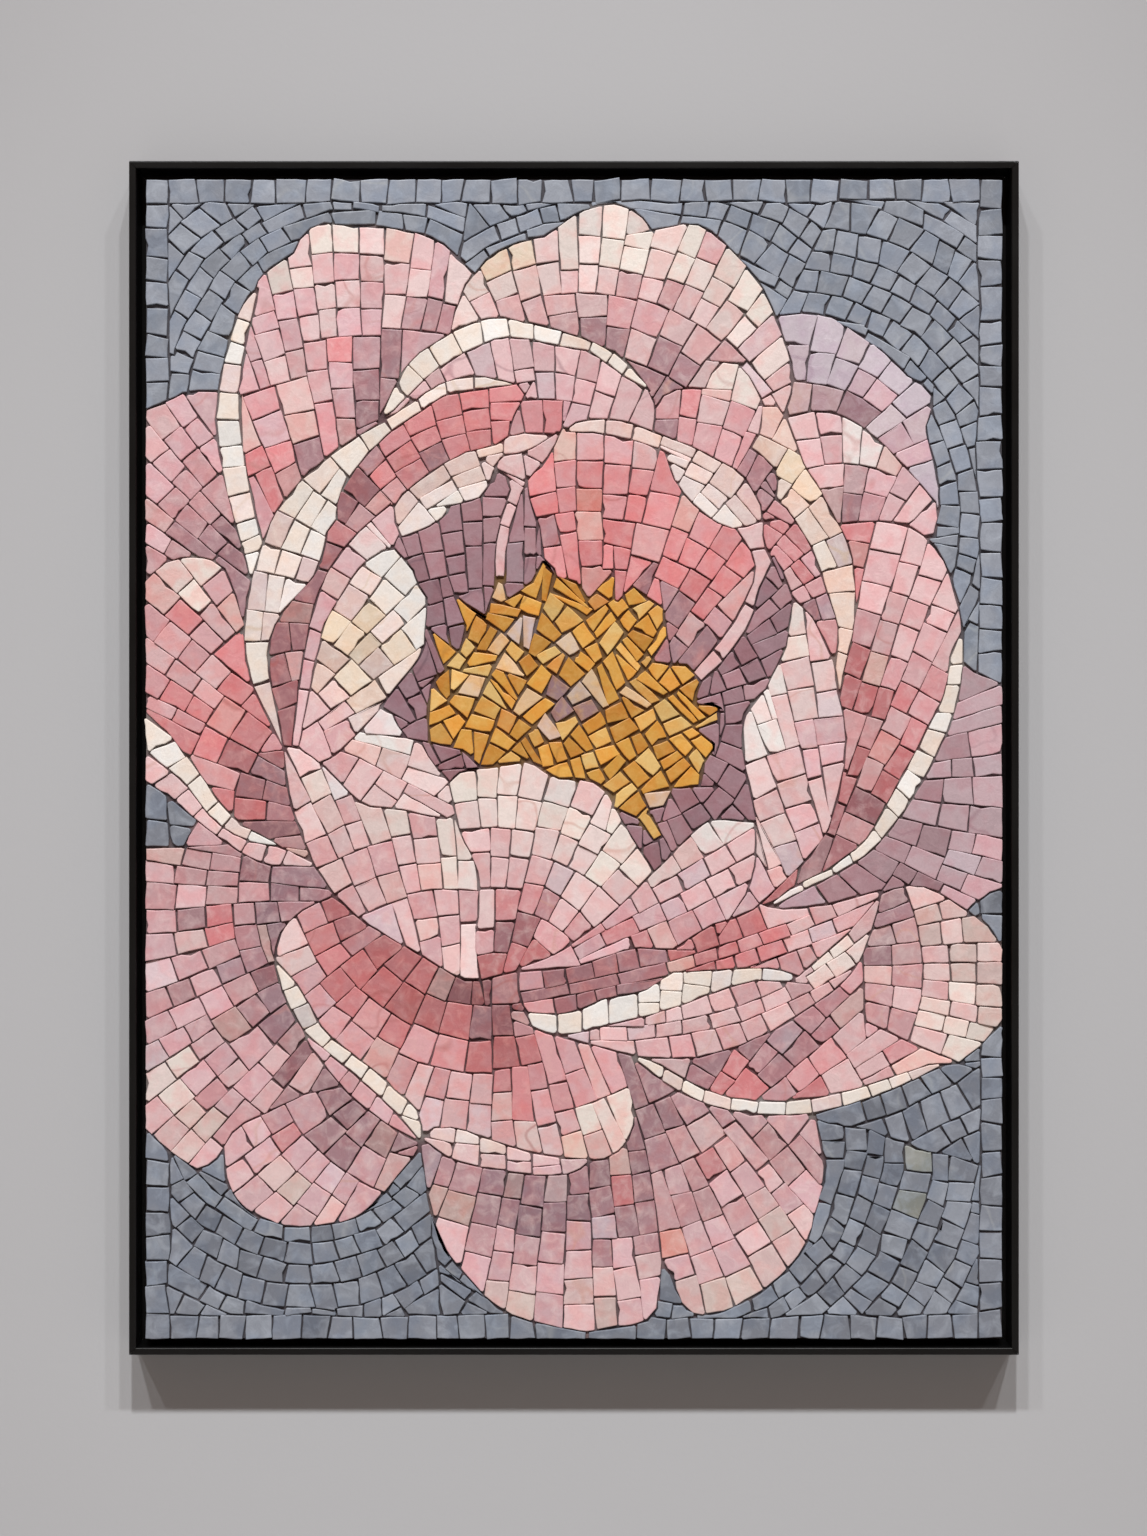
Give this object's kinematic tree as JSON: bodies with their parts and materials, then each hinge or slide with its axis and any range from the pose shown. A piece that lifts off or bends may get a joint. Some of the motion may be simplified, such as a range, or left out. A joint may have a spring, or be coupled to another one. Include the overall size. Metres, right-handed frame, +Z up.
{
  "type": "mosaic panel",
  "caption": "Framed wall mosaic of a full-blown flower in hand-cut marble on a board, in a slim black tray frame, hung by its back.",
  "frame": {"origin": "middle of the top rail's back flange face, where the panel hangs on the wall", "axes": "+Y into the wall, the picture faces -Y; +Z up along the panel; +X to the right as seen from the room"},
  "size_m": [0.6016, 0.038, 0.8072],
  "materials": {
    "frame": "matte",
    "board": "matte",
    "bed": "matte",
    "slate": "satin",
    "cream": "satin",
    "blush": "satin",
    "rose": "satin",
    "coral": "satin",
    "mauve": "satin",
    "plum": "satin",
    "lilac": "satin",
    "gold": "satin"
  },
  "bodies": {
    "root": {"frame_bottom": "frame", "frame_left": "frame", "frame_top": "frame", "frame_right": "frame", "backing_board": "board", "setting_bed": "bed", "ground_upper": "slate", "ground_left": "slate", "ground_right": "slate", "ground_lower_left": "slate", "ground_lower_right": "slate", "petal_left_back": "rose", "petal_right_back": "lilac", "petal_far_right": "mauve", "petal_low_left_back": "rose", "petal_low_left_lobe": "blush", "petal_upper_left": "rose", "rim_upper_left": "cream", "petal_upper_centre": "blush", "petal_centre_fold": "rose", "petal_right_small": "rose", "petal_right_big": "rose", "rim_right_big": "cream", "rim_right_long": "cream", "petal_left_middle": "coral", "rim_left_middle": "cream", "turn_left_middle": "blush", "petal_bottom_left": "blush", "petal_bottom_right": "blush", "petal_low_right": "blush", "petal_low_right_front": "rose", "rim_low_right": "cream", "petal_low_left": "coral", "rim_low_left": "cream", "turn_low_left": "rose", "rim_low_centre": "cream", "boat_inside": "coral", "boat_turn": "blush", "boat_rim": "cream", "petal_cup_right": "blush", "fold_right": "rose", "well_right": "plum", "ring_upper": "mauve", "rim_ring_upper": "cream", "ring_inner": "coral", "rim_ring_left": "cream", "cup_left_outer": "rose", "cup_left_inner": "cream", "cup_left_lower": "blush", "well_left": "plum", "lip_upper_left": "cream", "well_top": "plum", "strip_inner_left": "rose", "petal_inner_top": "coral", "rim_inner_right": "blush", "lip_inner_right": "cream", "cup_front_left": "blush", "cup_front_centre": "blush", "cup_front_right": "rose", "stamens": "gold"}
  },
  "joints": []
}
